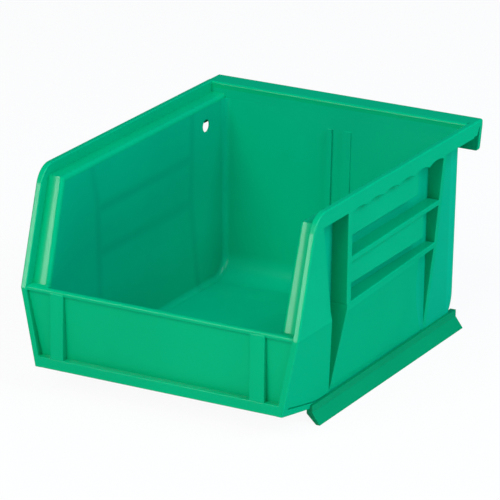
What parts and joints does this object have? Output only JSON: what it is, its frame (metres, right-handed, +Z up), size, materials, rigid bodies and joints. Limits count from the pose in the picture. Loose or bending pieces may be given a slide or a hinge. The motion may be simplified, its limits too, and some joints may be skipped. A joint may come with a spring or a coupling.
{
  "type": "stackable storage bin",
  "caption": "Open-front hang-and-stack storage bin with sloping sides, stacking ledges, flared foot rails, ribbed grip bays and a rear hanging lip.",
  "frame": {"origin": "centre of the bounding box footprint, on the ground under the foot rails", "axes": "+X to the bin's right-hand side seen from the front, -Y to the open picking front, +Y to the hanging lip, +Z up"},
  "size_m": [0.1054, 0.1366, 0.0762],
  "materials": {
    "green_polypropylene": "satin"
  },
  "bodies": {
    "root": {"floor_pan": "green_polypropylene", "front_top_bead": "green_polypropylene", "front_wall": "green_polypropylene", "hanger_flange": "green_polypropylene", "hanger_plate": "green_polypropylene", "label_ledge": "green_polypropylene", "left_bay_panel": "green_polypropylene", "left_foot_rail": "green_polypropylene", "left_front_post": "green_polypropylene", "left_grip_panel": "green_polypropylene", "left_hanger_web": "green_polypropylene", "left_label_strip": "green_polypropylene", "left_lower_cross_rib": "green_polypropylene", "left_lower_panel": "green_polypropylene", "left_mid_rib": "green_polypropylene", "left_rear_rib": "green_polypropylene", "left_rim": "green_polypropylene", "left_side_wall": "green_polypropylene", "left_stacking_ledge": "green_polypropylene", "left_upper_cross_rib": "green_polypropylene", "nose_ramp": "green_polypropylene", "rear_divider_guides": "green_polypropylene", "rear_wall": "green_polypropylene", "right_bay_panel": "green_polypropylene", "right_foot_rail": "green_polypropylene", "right_front_post": "green_polypropylene", "right_grip_panel": "green_polypropylene", "right_hanger_web": "green_polypropylene", "right_label_strip": "green_polypropylene", "right_lower_cross_rib": "green_polypropylene", "right_lower_panel": "green_polypropylene", "right_mid_rib": "green_polypropylene", "right_rear_rib": "green_polypropylene", "right_rim": "green_polypropylene", "right_side_wall": "green_polypropylene", "right_stacking_ledge": "green_polypropylene", "right_upper_cross_rib": "green_polypropylene"}
  },
  "joints": []
}
